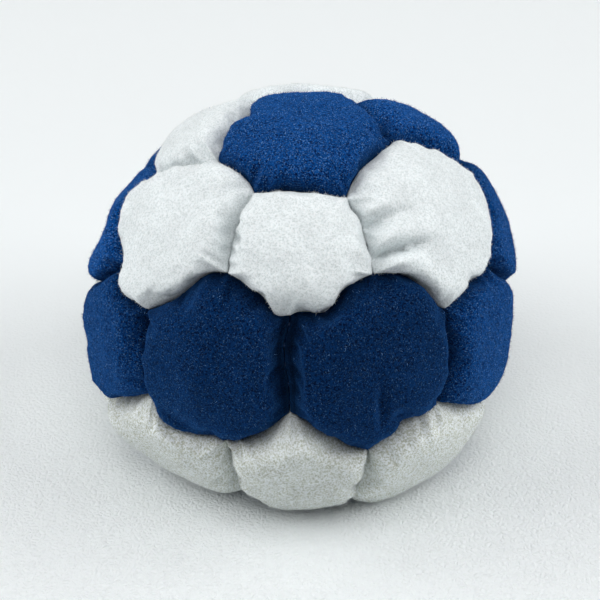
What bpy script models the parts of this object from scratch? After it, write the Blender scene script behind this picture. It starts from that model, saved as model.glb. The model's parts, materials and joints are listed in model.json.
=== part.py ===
# A footbag at rest: twelve pentagons and twenty hexagons of suede, sewn edge to edge
# round a filling of sand. Each panel is a shell with a soft crown, rolled edges and a
# seam allowance that turns into the bag beside its neighbour's. The sand lets the ball
# sink a little, so it is lower than it is wide and stands on a flat base.
# Metres, +Z up, origin on the floor under the middle of the bag.

import math

import bmesh
import bpy
from mathutils import Vector

MM = 0.001

# The settled bag, measured from its middle to the crowns of the panels
SIDE_RADIUS = 27.0 * MM
TOP_HEIGHT = 25.2 * MM
BASE_HEIGHT = 18.3 * MM
BASE_ROUNDING = 3.5 * MM    # how softly the sides turn into the base
BASE_PRESS = 0.6 * MM       # depth that the floor presses off the crowns under the bag
SEWN_RADIUS = 26.0 * MM     # of the ball when it hangs free, at its seams
LOWER_FULLNESS = 2.2        # how far the sand squares the lower sides out, 2 is a ball

# The suede panels
SUEDE_THICKNESS = 1.0 * MM
BEND_RADIUS = 1.2 * MM      # inside radius of the bend along a seam
PANEL_CROWN = 0.8 * MM      # rise from the rolled edge to the middle of a panel
SEAM_ALLOWANCE = 2.5 * MM   # width turned in past the stitches
SEAM_GAP = 0.3 * MM         # between the turned-in edges of two neighbours

# The filling
FILL_CLEARANCE = 0.4 * MM   # to the inside of the suede
RAW_EDGE_LEAN_SHARE = 0.6   # of the suede's thickness, that a leaning allowance's square
                            # raw edge reaches past its outer face

# Turn of the whole ball, set by the front pentagon's azimuth (from -Y, positive towards
# +X) and elevation, in degrees
FRONT_AZIMUTH = -1.5
FRONT_ELEVATION = 46.0

# Facets
EDGE_SEGMENTS = 2                     # along each seam
CROWN_RING_SHARES = (0.62, 0.27)      # from the rolled edge towards the panel's middle
ROLL_TURNS = (72.0, 36.0)             # degrees round the rolled edge, 0 at the seam
FILL_RING_SHARES = (0.5,)             # the same for the swells of the sand
FILL_TURNS = (54.0,)

# A ring of five panels, clockwise from outside the bag, starting at the top or half a
# step past it
PANELS_IN_RING = 5
RING_STEP = 360.0 / PANELS_IN_RING
EVEN_WORDS = ("top", "upper_right", "lower_right", "lower_left", "upper_left")
ODD_WORDS = ("upper_right", "lower_right", "bottom", "lower_left", "upper_left")
PENTAGON_STEP = math.degrees(math.atan(2.0))   # between neighbouring pentagons' middles

# Seam corners that hand sewing has pulled off their even places. Each is the corner of
# the first pentagon that points at the second, moved away from the front pentagon's
# middle and clockwise round it, in degrees.
PULLED_CORNERS = (
    ("front_pentagon", "front_side_pentagon_bottom", -3.0, 1.5),
    ("front_pentagon", "front_side_pentagon_lower_left", -0.5, -2.5),
    ("front_pentagon", "front_side_pentagon_lower_right", 0.5, 1.0),
    ("front_pentagon", "front_side_pentagon_upper_left", 1.0, -0.5),
    ("front_pentagon", "front_side_pentagon_upper_right", 0.5, 0.0),
    ("front_side_pentagon_bottom", "front_pentagon", 1.0, 1.0),
    ("front_side_pentagon_bottom", "front_side_pentagon_lower_left", -2.0, 0.0),
    ("front_side_pentagon_bottom", "front_side_pentagon_lower_right", 0.0, 1.5),
    ("front_side_pentagon_bottom", "rear_side_pentagon_lower_left", 4.5, 2.0),
    ("front_side_pentagon_bottom", "rear_side_pentagon_lower_right", 9.0, 0.0),
    ("front_side_pentagon_lower_left", "front_pentagon", 0.5, 0.5),
    ("front_side_pentagon_lower_left", "front_side_pentagon_bottom", 1.0, -1.0),
    ("front_side_pentagon_lower_left", "front_side_pentagon_upper_left", -6.0, -5.0),
    ("front_side_pentagon_lower_left", "rear_side_pentagon_lower_left", 3.5, -1.0),
    ("front_side_pentagon_lower_left", "rear_side_pentagon_upper_left", -4.0, 1.0),
    ("front_side_pentagon_lower_right", "front_pentagon", -1.0, -1.0),
    ("front_side_pentagon_lower_right", "front_side_pentagon_bottom", 0.5, 1.0),
    ("front_side_pentagon_lower_right", "front_side_pentagon_upper_right", -1.5, 0.5),
    ("front_side_pentagon_lower_right", "rear_side_pentagon_lower_right", 4.0, -1.0),
    ("front_side_pentagon_lower_right", "rear_side_pentagon_upper_right", -4.0, -2.0),
    ("front_side_pentagon_upper_left", "front_pentagon", -4.0, -1.5),
    ("front_side_pentagon_upper_left", "front_side_pentagon_lower_left", -1.0, 0.5),
    ("front_side_pentagon_upper_left", "front_side_pentagon_upper_right", 4.5, 1.5),
    ("front_side_pentagon_upper_right", "front_pentagon", 4.0, -0.5),
    ("front_side_pentagon_upper_right", "front_side_pentagon_lower_right", 6.0, -3.0),
    ("front_side_pentagon_upper_right", "front_side_pentagon_upper_left", 6.0, 1.5),
)

# The white panels make one band round the ball, and the blue panels make the other
WHITE_PANELS = (
    "front_pentagon",
    "front_hexagon_upper_right",
    "front_hexagon_upper_left",
    "front_side_pentagon_bottom",
    "front_side_pentagon_upper_left",
    "front_side_hexagon_top",
    "front_side_hexagon_lower_right",
    "front_side_hexagon_lower_left",
    "rear_side_hexagon_upper_right",
    "rear_side_hexagon_lower_right",
    "rear_side_hexagon_lower_left",
    "rear_side_pentagon_upper_right",
    "rear_side_pentagon_upper_left",
    "rear_hexagon_bottom",
    "rear_hexagon_upper_left",
    "rear_pentagon",
)

# Base colour in sRGB, roughness and metallic of each material
MATERIALS = {
    "blue_suede": ((24, 69, 127), 0.9, 0.0),
    "white_suede": ((228, 233, 234), 0.9, 0.0),
    "sand": ((196, 171, 130), 0.95, 0.0),
}

# Sizes that follow from the ones above
EDGE_ROLL = BEND_RADIUS + SUEDE_THICKNESS
SEAM_DEPTH = EDGE_ROLL + PANEL_CROWN
HALF_GAP = SEAM_GAP / 2
FILL_DEPTH = SUEDE_THICKNESS + FILL_CLEARANCE


def direction(polar, clock):
    """Unit vector polar degrees from the front pentagon's middle, at a clock angle in
    degrees from straight up, clockwise from outside."""
    azimuth, elevation = math.radians(FRONT_AZIMUTH), math.radians(FRONT_ELEVATION)
    right = Vector((math.cos(azimuth), math.sin(azimuth), 0.0))
    level = Vector((math.sin(azimuth), -math.cos(azimuth), 0.0))
    front = level * math.cos(elevation) + Vector((0.0, 0.0, math.sin(elevation)))
    up = front.cross(right)
    polar, clock = math.radians(polar), math.radians(clock)
    return (front * math.cos(polar)
            + (up * math.cos(clock) + right * math.sin(clock)) * math.sin(polar))


def reach(ray, depth):
    """Distance from the bag's middle along a ray to the surface that lies depth inside
    the crowns: a domed top and fuller lower sides that blend into a level base."""
    level = math.hypot(ray.x, ray.y)
    if ray.z > 0.0:
        power, half_height = 2.0, TOP_HEIGHT - depth
    else:
        power, half_height = LOWER_FULLNESS, SIDE_RADIUS - depth
    side = ((level / (SIDE_RADIUS - depth)) ** power
            + (abs(ray.z) / half_height) ** power) ** (-1.0 / power)
    base_height = BASE_HEIGHT + BASE_PRESS - depth
    if -ray.z * (side + BASE_ROUNDING) <= base_height:
        return side
    base = base_height / -ray.z
    blend = max(BASE_ROUNDING - abs(side - base), 0.0)
    return min(side, base) - blend * blend / (4.0 * BASE_ROUNDING)


def spread(ray):
    """A sewn ray's place on the settled bag. The base lies nearer the middle than the
    ball's underside did, so the panels there keep their size by opening out."""
    level = math.hypot(ray.x, ray.y)
    angle = math.atan2(level, -ray.z)
    opened = math.atan(SEWN_RADIUS * angle / BASE_HEIGHT)
    if opened <= angle:
        return ray
    scale = math.sin(opened) / level
    return Vector((ray.x * scale, ray.y * scale, -math.cos(opened)))


def sewing_plan():
    """Middle and corners of every panel, as rays from the bag's middle. The pentagons
    sit on an icosahedron's corners, and each seam corner is a third of the way from one
    pentagon's middle to the next one's."""
    pentagons = {"front_pentagon": direction(0.0, 0.0), "rear_pentagon": direction(180.0, 0.0)}
    hexagons = {}
    for number in range(PANELS_IN_RING):
        even, odd = EVEN_WORDS[number], ODD_WORDS[number]
        next_even = EVEN_WORDS[(number + 1) % PANELS_IN_RING]
        clock = number * RING_STEP
        pentagons["front_side_pentagon_" + odd] = direction(PENTAGON_STEP, clock + RING_STEP / 2)
        pentagons["rear_side_pentagon_" + even] = direction(180.0 - PENTAGON_STEP, clock)
        front_before = "front_side_pentagon_" + ODD_WORDS[number - 1]
        front_after = "front_side_pentagon_" + odd
        rear_before = "rear_side_pentagon_" + even
        rear_after = "rear_side_pentagon_" + next_even
        hexagons["front_hexagon_" + even] = ("front_pentagon", front_before, front_after)
        hexagons["front_side_hexagon_" + even] = (front_before, front_after, rear_before)
        hexagons["rear_side_hexagon_" + odd] = (front_after, rear_before, rear_after)
        hexagons["rear_hexagon_" + odd] = (rear_before, rear_after, "rear_pentagon")

    corners = {}
    for first, first_ray in pentagons.items():
        for second, second_ray in pentagons.items():
            if first != second and first_ray.dot(second_ray) > 0.0:
                corners[first, second] = (first_ray * 2.0 + second_ray).normalized()
    for first, second, outward, clockwise in PULLED_CORNERS:
        corner = corners[first, second]
        aside = corner.cross(pentagons["front_pentagon"]).normalized()
        away = corner.cross(aside)
        corners[first, second] = (corner + away * math.tan(math.radians(outward))
                                  + aside * math.tan(math.radians(clockwise))).normalized()
    corners = {pair: spread(ray) for pair, ray in corners.items()}

    plan = {}
    for name in pentagons:
        plan[name] = [ray for pair, ray in corners.items() if pair[0] == name]
    for name, three in hexagons.items():
        plan[name] = [corners[first, second] for first in three for second in three
                      if first != second]
    return {name: in_order(rays) for name, rays in plan.items()}


def in_order(rays):
    """A panel's middle, its corners anticlockwise from outside, and each corner's mitre:
    the way in that moves it off both its seams by one unit."""
    middle = sum(rays, Vector()).normalized()
    across = rays[0].cross(middle).normalized()
    along = middle.cross(across)
    rays = sorted(rays, key=lambda ray: math.atan2(ray.dot(along), ray.dot(across)))
    mitres = []
    for number, ray in enumerate(rays):
        before = rays[number - 1].cross(ray).normalized()
        after = ray.cross(rays[(number + 1) % len(rays)]).normalized()
        mitres.append((before + after) / (1.0 + before.dot(after)))
    return middle, rays, mitres


def ring(panel, inset, depth, lowest, share=0.0):
    """Points round a panel, inset from its seams and depth inside the crowns, then a
    share of the way to its middle. None lies under the lowest level."""
    middle, rays, mitres = panel
    target = middle * reach(middle, depth)
    corners = []
    for ray, mitre in zip(rays, mitres):
        corner = ray * reach(ray, depth) + mitre * inset
        corners.append(corner.lerp(target, share))
    points = []
    for number, corner in enumerate(corners):
        following = corners[(number + 1) % len(corners)]
        for step in range(EDGE_SEGMENTS):
            toward = corner.lerp(following, step / EDGE_SEGMENTS).normalized()
            point = toward * reach(toward, depth)
            point.z = max(point.z, lowest)
            points.append(point)
    return points


def pillow_rings(panel, edge_inset, roll, top_depth, lowest, ring_shares, turns):
    """Rings of a panel's crowned face, from its middle out to the seam: a low crown that
    turns down through a roll. The first ring has every point at the middle."""
    middle, rays, mitres = panel
    half_width = sum(middle.cross(ray).length for ray in rays) / len(rays) * SIDE_RADIUS
    rings = []

    def add(inset, rise, share=0.0):
        run = (inset + (half_width - inset) * share) / half_width
        crown = PANEL_CROWN * (1.0 - (1.0 - run) ** 2)
        depth = top_depth + roll + PANEL_CROWN - rise - crown
        rings.append(ring(panel, edge_inset + inset, depth, lowest, share))

    add(roll, roll, 1.0)
    for share in ring_shares:
        add(roll, roll, share)
    for turn in turns:
        add(roll * (1.0 - math.cos(math.radians(turn))), roll * math.sin(math.radians(turn)))
    add(0.0, 0.0)
    return rings


def loft(mesh, rings):
    """Skin a run of rings that starts at one point, with its outside up. The cuts across
    the faces fan out from the panel's corners, so the halves of a side mirror each other."""
    middle = mesh.verts.new(rings[0][0])
    inner = None
    for points in rings[1:]:
        outer = [mesh.verts.new(point) for point in points]
        for here in range(len(outer)):
            there = (here + 1) % len(outer)
            if inner is None:
                mesh.faces.new((middle, outer[here], outer[there]))
            elif here % EDGE_SEGMENTS < EDGE_SEGMENTS / 2:
                mesh.faces.new((inner[here], outer[here], outer[there]))
                mesh.faces.new((inner[here], outer[there], inner[there]))
            else:
                mesh.faces.new((inner[here], outer[here], inner[there]))
                mesh.faces.new((inner[there], outer[here], outer[there]))
        inner = outer


def add_object(name, mesh, material, collection, parent):
    """Turn a finished mesh into a smooth object of the bag."""
    data = bpy.data.meshes.new(name)
    mesh.to_mesh(data)
    mesh.free()
    data.materials.append(material)
    data.shade_smooth()
    thing = bpy.data.objects.new(name, data)
    thing.parent = parent
    collection.objects.link(thing)
    return thing


def make_panel(name, panel, material, collection, parent):
    """One suede panel: crowned face, rolled edges and turned-in seam allowance, given
    its thickness on the inside."""
    lowest = -BASE_HEIGHT
    rings = pillow_rings(panel, HALF_GAP, EDGE_ROLL, 0.0, lowest, CROWN_RING_SHARES, ROLL_TURNS)
    rings.append(ring(panel, HALF_GAP, SEAM_DEPTH + SEAM_ALLOWANCE, lowest))
    mesh = bmesh.new()
    loft(mesh, rings)
    thing = add_object(name, mesh, material, collection, parent)
    thickness = thing.modifiers.new("suede_thickness", "SOLIDIFY")
    thickness.thickness = SUEDE_THICKNESS
    thickness.offset = -1.0
    thickness.use_even_offset = True
    return thing


def make_filling(plan, material, collection, parent):
    """The sand: a swell behind every panel, parted by a channel round each seam."""
    lowest = -BASE_HEIGHT + FILL_DEPTH
    wall_inset = HALF_GAP + FILL_DEPTH
    roll = BEND_RADIUS - FILL_CLEARANCE
    raw_edge_lean = SUEDE_THICKNESS * RAW_EDGE_LEAN_SHARE
    channel_depth = SEAM_DEPTH + SEAM_ALLOWANCE + raw_edge_lean + FILL_CLEARANCE
    mesh = bmesh.new()
    for panel in plan.values():
        rings = pillow_rings(panel, wall_inset, roll, FILL_DEPTH, lowest,
                             FILL_RING_SHARES, FILL_TURNS)
        rings.append(ring(panel, wall_inset, channel_depth, lowest))
        rings.append(ring(panel, 0.0, channel_depth, lowest))
        loft(mesh, rings)
    bmesh.ops.remove_doubles(mesh, verts=mesh.verts, dist=FILL_CLEARANCE / 100)
    return add_object("sand_fill", mesh, material, collection, parent)


def linear(channel):
    share = channel / 255
    return share / 12.92 if share <= 0.04045 else ((share + 0.055) / 1.055) ** 2.4


def make_material(name):
    colour, roughness, metallic = MATERIALS[name]
    material = bpy.data.materials.new(name)
    material.use_nodes = True
    shader = material.node_tree.nodes["Principled BSDF"]
    shader.inputs["Base Color"].default_value = [linear(part) for part in colour] + [1.0]
    shader.inputs["Roughness"].default_value = roughness
    shader.inputs["Metallic"].default_value = metallic
    return material


def main():
    for thing in list(bpy.data.objects):
        bpy.data.objects.remove(thing)
    collection = bpy.data.collections.new("footbag")
    bpy.context.scene.collection.children.link(collection)
    middle = bpy.data.objects.new("bag_middle", None)
    middle.location = (0.0, 0.0, BASE_HEIGHT)
    collection.objects.link(middle)

    materials = {name: make_material(name) for name in MATERIALS}
    plan = sewing_plan()
    for name, panel in plan.items():
        colour = "white_suede" if name in WHITE_PANELS else "blue_suede"
        make_panel(name, panel, materials[colour], collection, middle)
    make_filling(plan, materials["sand"], collection, middle)


main()
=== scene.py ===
# A footbag at rest: thirty-two suede panels, plump with sand, sewn edge to edge. Every
# panel is a closed shell of suede 1 mm thick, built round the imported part's own seams.
import json
import math

import bpy
import numpy as np
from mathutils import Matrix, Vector


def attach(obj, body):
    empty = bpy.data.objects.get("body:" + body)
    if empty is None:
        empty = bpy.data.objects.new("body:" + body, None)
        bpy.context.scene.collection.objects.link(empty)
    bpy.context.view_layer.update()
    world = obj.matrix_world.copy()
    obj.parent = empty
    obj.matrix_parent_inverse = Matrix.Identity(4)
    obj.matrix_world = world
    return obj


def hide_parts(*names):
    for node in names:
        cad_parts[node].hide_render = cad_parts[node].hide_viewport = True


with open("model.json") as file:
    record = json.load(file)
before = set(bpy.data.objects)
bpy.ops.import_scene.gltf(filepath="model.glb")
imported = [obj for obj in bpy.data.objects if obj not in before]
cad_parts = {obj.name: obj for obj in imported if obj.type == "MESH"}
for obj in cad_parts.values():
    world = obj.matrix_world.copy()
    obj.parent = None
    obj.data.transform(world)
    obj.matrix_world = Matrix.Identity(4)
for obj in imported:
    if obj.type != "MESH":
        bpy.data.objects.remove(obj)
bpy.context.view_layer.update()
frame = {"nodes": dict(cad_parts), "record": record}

mm = 0.001
print("frame loaded:", len(frame["nodes"]), "nodes")

# The settled bag, with the sizes that its solids have
bag = {
    "sideRadius": 27.0 * mm,
    "topHeight": 25.2 * mm,
    "baseHeight": 18.3 * mm,
    "baseRounding": 3.5 * mm,   # how softly the sides turn into the base
    "basePress": 0.6 * mm,      # what the floor presses off the crowns under the bag
    "sewnRadius": 26.0 * mm,    # of the ball when it hangs free
    "lowerFullness": 2.2,       # 2 is a ball, more is squarer
    "frontAzimuth": -1.5,       # degrees, where the front pentagon looks
    "frontElevation": 46.0,
    "pentagonStep": math.degrees(math.atan(2.0)),
    "ringStep": 72.0,
}
middle = np.array([0.0, 0.0, bag["baseHeight"]])

evenWords = ("top", "upper_right", "lower_right", "lower_left", "upper_left")
oddWords = ("upper_right", "lower_right", "bottom", "lower_left", "upper_left")
nearRing, farRing = "front_side_pentagon_", "rear_side_pentagon_"

# Seam corners that hand sewing pulled off their even places: the corner of the first
# pentagon that points at the second, outward and clockwise in degrees
pulledCorners = (
    ("front_pentagon", nearRing + "bottom", -3.0, 1.5),
    ("front_pentagon", nearRing + "lower_left", -0.5, -2.5),
    ("front_pentagon", nearRing + "lower_right", 0.5, 1.0),
    ("front_pentagon", nearRing + "upper_left", 1.0, -0.5),
    ("front_pentagon", nearRing + "upper_right", 0.5, 0.0),
    (nearRing + "bottom", "front_pentagon", 1.0, 1.0),
    (nearRing + "bottom", nearRing + "lower_left", -2.0, 0.0),
    (nearRing + "bottom", nearRing + "lower_right", 0.0, 1.5),
    (nearRing + "bottom", farRing + "lower_left", 4.5, 2.0),
    (nearRing + "bottom", farRing + "lower_right", 9.0, 0.0),
    (nearRing + "lower_left", "front_pentagon", 0.5, 0.5),
    (nearRing + "lower_left", nearRing + "bottom", 1.0, -1.0),
    (nearRing + "lower_left", nearRing + "upper_left", -6.0, -5.0),
    (nearRing + "lower_left", farRing + "lower_left", 3.5, -1.0),
    (nearRing + "lower_left", farRing + "upper_left", -4.0, 1.0),
    (nearRing + "lower_right", "front_pentagon", -1.0, -1.0),
    (nearRing + "lower_right", nearRing + "bottom", 0.5, 1.0),
    (nearRing + "lower_right", nearRing + "upper_right", -1.5, 0.5),
    (nearRing + "lower_right", farRing + "lower_right", 4.0, -1.0),
    (nearRing + "lower_right", farRing + "upper_right", -4.0, -2.0),
    (nearRing + "upper_left", "front_pentagon", -4.0, -1.5),
    (nearRing + "upper_left", nearRing + "lower_left", -1.0, 0.5),
    (nearRing + "upper_left", nearRing + "upper_right", 4.5, 1.5),
    (nearRing + "upper_right", "front_pentagon", 4.0, -0.5),
    (nearRing + "upper_right", nearRing + "lower_right", 6.0, -3.0),
    (nearRing + "upper_right", nearRing + "upper_left", 6.0, 1.5),
)


def unit(vectors):
    # each vector over its own length
    return vectors / np.linalg.norm(vectors, axis=-1, keepdims=True)


def aimed(azimuth, elevation):
    # the ray at an azimuth from -Y towards +X and an elevation, with its east and its up
    azimuth, elevation = math.radians(azimuth), math.radians(elevation)
    east = np.array([math.cos(azimuth), math.sin(azimuth), 0.0])
    level = np.array([math.sin(azimuth), -math.cos(azimuth), 0.0])
    ray = level * math.cos(elevation) + np.array([0.0, 0.0, math.sin(elevation)])
    return ray, east, np.cross(ray, east)


def direction(polar, clock):
    # a ray polar degrees from the front pentagon's middle, clock degrees clockwise from up
    front, right, up = aimed(bag["frontAzimuth"], bag["frontElevation"])
    polar, clock = math.radians(polar), math.radians(clock)
    across = up * math.cos(clock) + right * math.sin(clock)
    return front * math.cos(polar) + across * math.sin(polar)


def reach(rays, depth):
    # distance from the bag's middle to the surface depth inside the crowns: an ellipse's
    # dome above, a superellipse below, cut by the level base with a parabolic blend
    level = np.hypot(rays[..., 0], rays[..., 1])
    down = -rays[..., 2]
    above = down < 0.0
    power = np.where(above, 2.0, bag["lowerFullness"])
    halfHeight = np.where(above, bag["topHeight"], bag["sideRadius"]) - depth
    side = (level / (bag["sideRadius"] - depth)) ** power + (np.abs(down) / halfHeight) ** power
    side = side ** (-1.0 / power)
    baseHeight = bag["baseHeight"] + bag["basePress"] - depth
    base = baseHeight / np.maximum(down, 1e-6)
    blend = np.clip(bag["baseRounding"] - np.abs(side - base), 0.0, None)
    cut = np.minimum(side, base) - blend ** 2 / (4.0 * bag["baseRounding"])
    return np.where(down * (side + bag["baseRounding"]) > baseHeight, cut, side)


def spread(ray):
    # near the base the angle from straight down opens to atan(sewn radius x angle / height)
    level = math.hypot(ray[0], ray[1])
    angle = math.atan2(level, -ray[2])
    opened = math.atan(bag["sewnRadius"] * angle / bag["baseHeight"])
    if opened <= angle:
        return ray
    scale = math.sin(opened) / level
    return np.array([ray[0] * scale, ray[1] * scale, -math.cos(opened)])


def inOrder(rays):
    # a panel's middle, its corners anticlockwise, their mitres and the planes of its seams
    rays = np.array(rays)
    centre = unit(rays.sum(axis=0))
    across = unit(np.cross(rays[0], centre))
    along = np.cross(centre, across)
    rays = rays[np.argsort(np.arctan2(rays @ along, rays @ across))]
    planes = unit(np.cross(rays, np.roll(rays, -1, axis=0)))    # point into the panel
    before = np.roll(planes, 1, axis=0)
    mitres = (before + planes) / (1.0 + np.sum(before * planes, axis=1, keepdims=True))
    return {"centre": centre, "rays": rays, "mitres": mitres, "planes": planes}


def sewingPlan():
    # pentagons on an icosahedron's corners, each seam corner a third of the way between two
    step, turn = bag["pentagonStep"], bag["ringStep"]
    pentagons = {"front_pentagon": direction(0.0, 0.0), "rear_pentagon": direction(180.0, 0.0)}
    hexagons = {}
    for number in range(5):
        even, odd, nextEven = evenWords[number], oddWords[number], evenWords[(number + 1) % 5]
        pentagons[nearRing + odd] = direction(step, (number + 0.5) * turn)
        pentagons[farRing + even] = direction(180.0 - step, number * turn)
        frontBefore, frontAfter = nearRing + oddWords[number - 1], nearRing + odd
        rearBefore, rearAfter = farRing + even, farRing + nextEven
        hexagons["front_hexagon_" + even] = ("front_pentagon", frontBefore, frontAfter)
        hexagons["front_side_hexagon_" + even] = (frontBefore, frontAfter, rearBefore)
        hexagons["rear_side_hexagon_" + odd] = (frontAfter, rearBefore, rearAfter)
        hexagons["rear_hexagon_" + odd] = (rearBefore, rearAfter, "rear_pentagon")
    corners = {}
    for first, firstRay in pentagons.items():
        for second, secondRay in pentagons.items():
            if first != second and firstRay @ secondRay > 0.0:
                corners[first, second] = unit(firstRay * 2.0 + secondRay)
    for first, second, outward, clockwise in pulledCorners:
        corner = corners[first, second]
        aside = unit(np.cross(corner, pentagons["front_pentagon"]))
        away = np.cross(corner, aside)
        moved = away * math.tan(math.radians(outward)) + aside * math.tan(math.radians(clockwise))
        corners[first, second] = unit(corner + moved)
    corners = {pair: spread(ray) for pair, ray in corners.items()}
    plan = {name: inOrder([ray for pair, ray in corners.items() if pair[0] == name])
            for name in pentagons}
    for name, three in hexagons.items():
        plan[name] = inOrder([corners[first, second] for first in three for second in three
                              if first != second])
    return plan


plan = sewingPlan()
print("sewing plan:", len(plan), "panels")

# How one panel is laid out and padded
panelMake = {
    "half": 24,               # fine cells from a panel's middle to its edge
    "wallHalf": 6,            # the same on the inside of the suede, which nobody sees
    "rollSteps": 16,          # fine rings round the rolled edge
    "allowanceSteps": 3,      # fine rings down the seam allowance
    "wallSteps": 3,           # rings of the inside, from the roll to the raw edge
    "thickness": 1.0 * mm,
    "rollWidth": 1.7 * mm,    # of the rolled edge, seen from above the panel
    "rollDepth": 2.6 * mm,    # from the top of the edge down to the seam
    "crown": 0.4 * mm,        # rise of a panel's middle over its edge, before the cloth swells
    "slack": 0.4 * mm,        # how much lower the skin lies before the cloth swells it
    "crownBlend": 0.6 * mm,   # how softly crowns are pressed back to the settled surface
    "smoothing": 6,           # times over, that takes the coarse cloth's corners off
    "allowance": 2.5 * mm,
    "halfGap": 0.08 * mm,
    "cornerEase": 1.1 * mm,   # how far the suede draws back from a seam corner
    "cornerWidth": 2.6 * mm,
}


def gridIndex(sides, half, kite, a, b):
    # number of a grid point: kites meet at the middle, and a kite's row a = 0 is the next
    # kite's row b = 0
    swap = a == 0
    kite = np.where(swap, (kite + 1) % sides, kite)
    a, b = np.where(swap, b, a), np.where(swap, 0, b)
    return np.where(a == 0, 0, 1 + kite * half * (half + 1) + (a - 1) * (half + 1) + b)


def kitePoints(sides, half):
    # the kite and both steps of every grid point but the middle
    kite, a, b = np.meshgrid(np.arange(sides), np.arange(1, half + 1), np.arange(half + 1),
                             indexing="ij")
    return kite.ravel(), a.ravel(), b.ravel()


def gridLayout(sides, half):
    # every point's ring share (0 middle, 1 edge) and place round the panel in sides, where
    # corner k is at k: a kite is the square a, b round corner k, and its ring is max(a, b)
    kite, a, b = kitePoints(sides, half)
    outward = np.maximum(a, b)
    aside = np.where(a >= b, b / outward - 1.0, 1.0 - a / outward)
    ringShare = np.concatenate([[0.0], outward / half])
    around = np.concatenate([[0.0], (kite + aside / 2.0) % sides])
    return ringShare, around


def gridFaces(sides, half):
    # four corners of every cell of every kite
    kite, a, b = np.meshgrid(np.arange(sides), np.arange(half), np.arange(half), indexing="ij")
    kite, a, b = kite.ravel(), a.ravel(), b.ravel()
    corners = [gridIndex(sides, half, kite, a + i, b + j)
               for i, j in ((0, 0), (1, 0), (1, 1), (0, 1))]
    return np.stack(corners, axis=1)


def rimIndex(sides, half):
    # the edge points in order round the panel, from the middle of the side before corner 0
    kite = np.repeat(np.arange(sides), 2 * half)
    step = np.tile(np.arange(2 * half), sides)
    return gridIndex(sides, half, kite, np.minimum(half, 2 * half - step), np.minimum(half, step))


def collared(faces, rim, start, number):
    # the rings of a collar from the rim on, numbered from start, and a grid's faces with
    # the collar's quads
    rings = [rim] + [start + ring * len(rim) + np.arange(len(rim)) for ring in range(number)]
    quads = [np.stack([first, second, np.roll(second, -1), np.roll(first, -1)], axis=1)
             for first, second in zip(rings, rings[1:])]
    return rings, np.concatenate([faces] + quads)


def panelPoints(panel, around, inset, depth, share, ease):
    # between two corners, each moved in by its mitre, then towards the middle by a share,
    # and out along its own ray to the surface at that depth
    sides = len(panel["rays"])
    here = np.floor(around).astype(int) % sides
    there = (here + 1) % sides
    run = (around - np.floor(around))[:, None]
    inset, share = inset[:, None], share[:, None]
    ends = []
    for corner in (here, there):
        ray, mitre = panel["rays"][corner], panel["mitres"][corner]
        ends.append(ray * reach(ray, depth)[:, None] + mitre * inset)
    points = ends[0] * (1.0 - run) + ends[1] * run
    sideLength = np.linalg.norm(ends[1] - ends[0], axis=1)[:, None]
    for corner, away in ((here, run), (there, 1.0 - run)):
        closeness = np.exp(-(away * sideLength / panelMake["cornerWidth"]) ** 2)
        points = points + panel["mitres"][corner] * closeness * ease[:, None]
    target = panel["centre"] * reach(panel["centre"], depth)[:, None]
    rays = unit(points * (1.0 - share) + target * share)
    return rays * reach(rays, depth)[:, None]


def panelSkin(panel, half, rollSteps, allowanceSteps, crown, slack):
    # the outside of a panel: a crown 1 - (1 - run) squared high, a quarter ellipse round the
    # edge, and the seam allowance turned straight in; slack lowers all but the seam
    sides = len(panel["rays"])
    width, roll = panelMake["rollWidth"], panelMake["rollDepth"]
    halfWidth = np.linalg.norm(np.cross(panel["centre"], panel["rays"]), axis=1).mean()
    halfWidth *= bag["sideRadius"]
    ringShare, around = gridLayout(sides, half)
    turns = np.linspace(1.0, 0.0, rollSteps + 1)[1:] * math.pi / 2.0
    drops = np.linspace(0.0, 1.0, allowanceSteps + 1)[1:] * panelMake["allowance"]
    rim = rimIndex(sides, half)
    ringAround = around[rim]
    collar = rollSteps + allowanceSteps
    insets = np.concatenate([width * (1.0 - np.cos(turns)), np.zeros(allowanceSteps)])
    rises = np.concatenate([roll * np.sin(turns), -drops])
    inset = np.concatenate([np.full(len(around), width), np.repeat(insets, len(rim))])
    rise = np.concatenate([np.full(len(around), roll), np.repeat(rises, len(rim))])
    share = np.concatenate([1.0 - ringShare, np.zeros(collar * len(rim))])
    around = np.concatenate([around, np.tile(ringAround, collar)])
    run = (inset + (halfWidth - inset) * share) / halfWidth
    depth = roll + crown - rise - crown * (1.0 - (1.0 - run) ** 2)
    depth = depth + slack * np.clip(rise / roll, 0.0, 1.0)
    ease = panelMake["cornerEase"] * np.clip(rise / roll, 0.0, 1.0) ** 2
    points = panelPoints(panel, around, inset + panelMake["halfGap"], depth, share, ease)
    rings, faces = collared(gridFaces(sides, half), rim, len(ringShare), collar)
    seamward = np.clip(rise / roll, -1.0, 1.0)
    return points, faces, rings, seamward, around


def quadNormals(points, faces):
    # each point's normal: the sum of its faces' cross products, made one long
    crosses = np.cross(points[faces[:, 2]] - points[faces[:, 0]],
                       points[faces[:, 3]] - points[faces[:, 1]])
    normals = np.zeros_like(points)
    for corner in range(4):
        for axis in range(3):
            normals[:, axis] += np.bincount(faces[:, corner], crosses[:, axis], len(points))
    return unit(normals)


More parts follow.
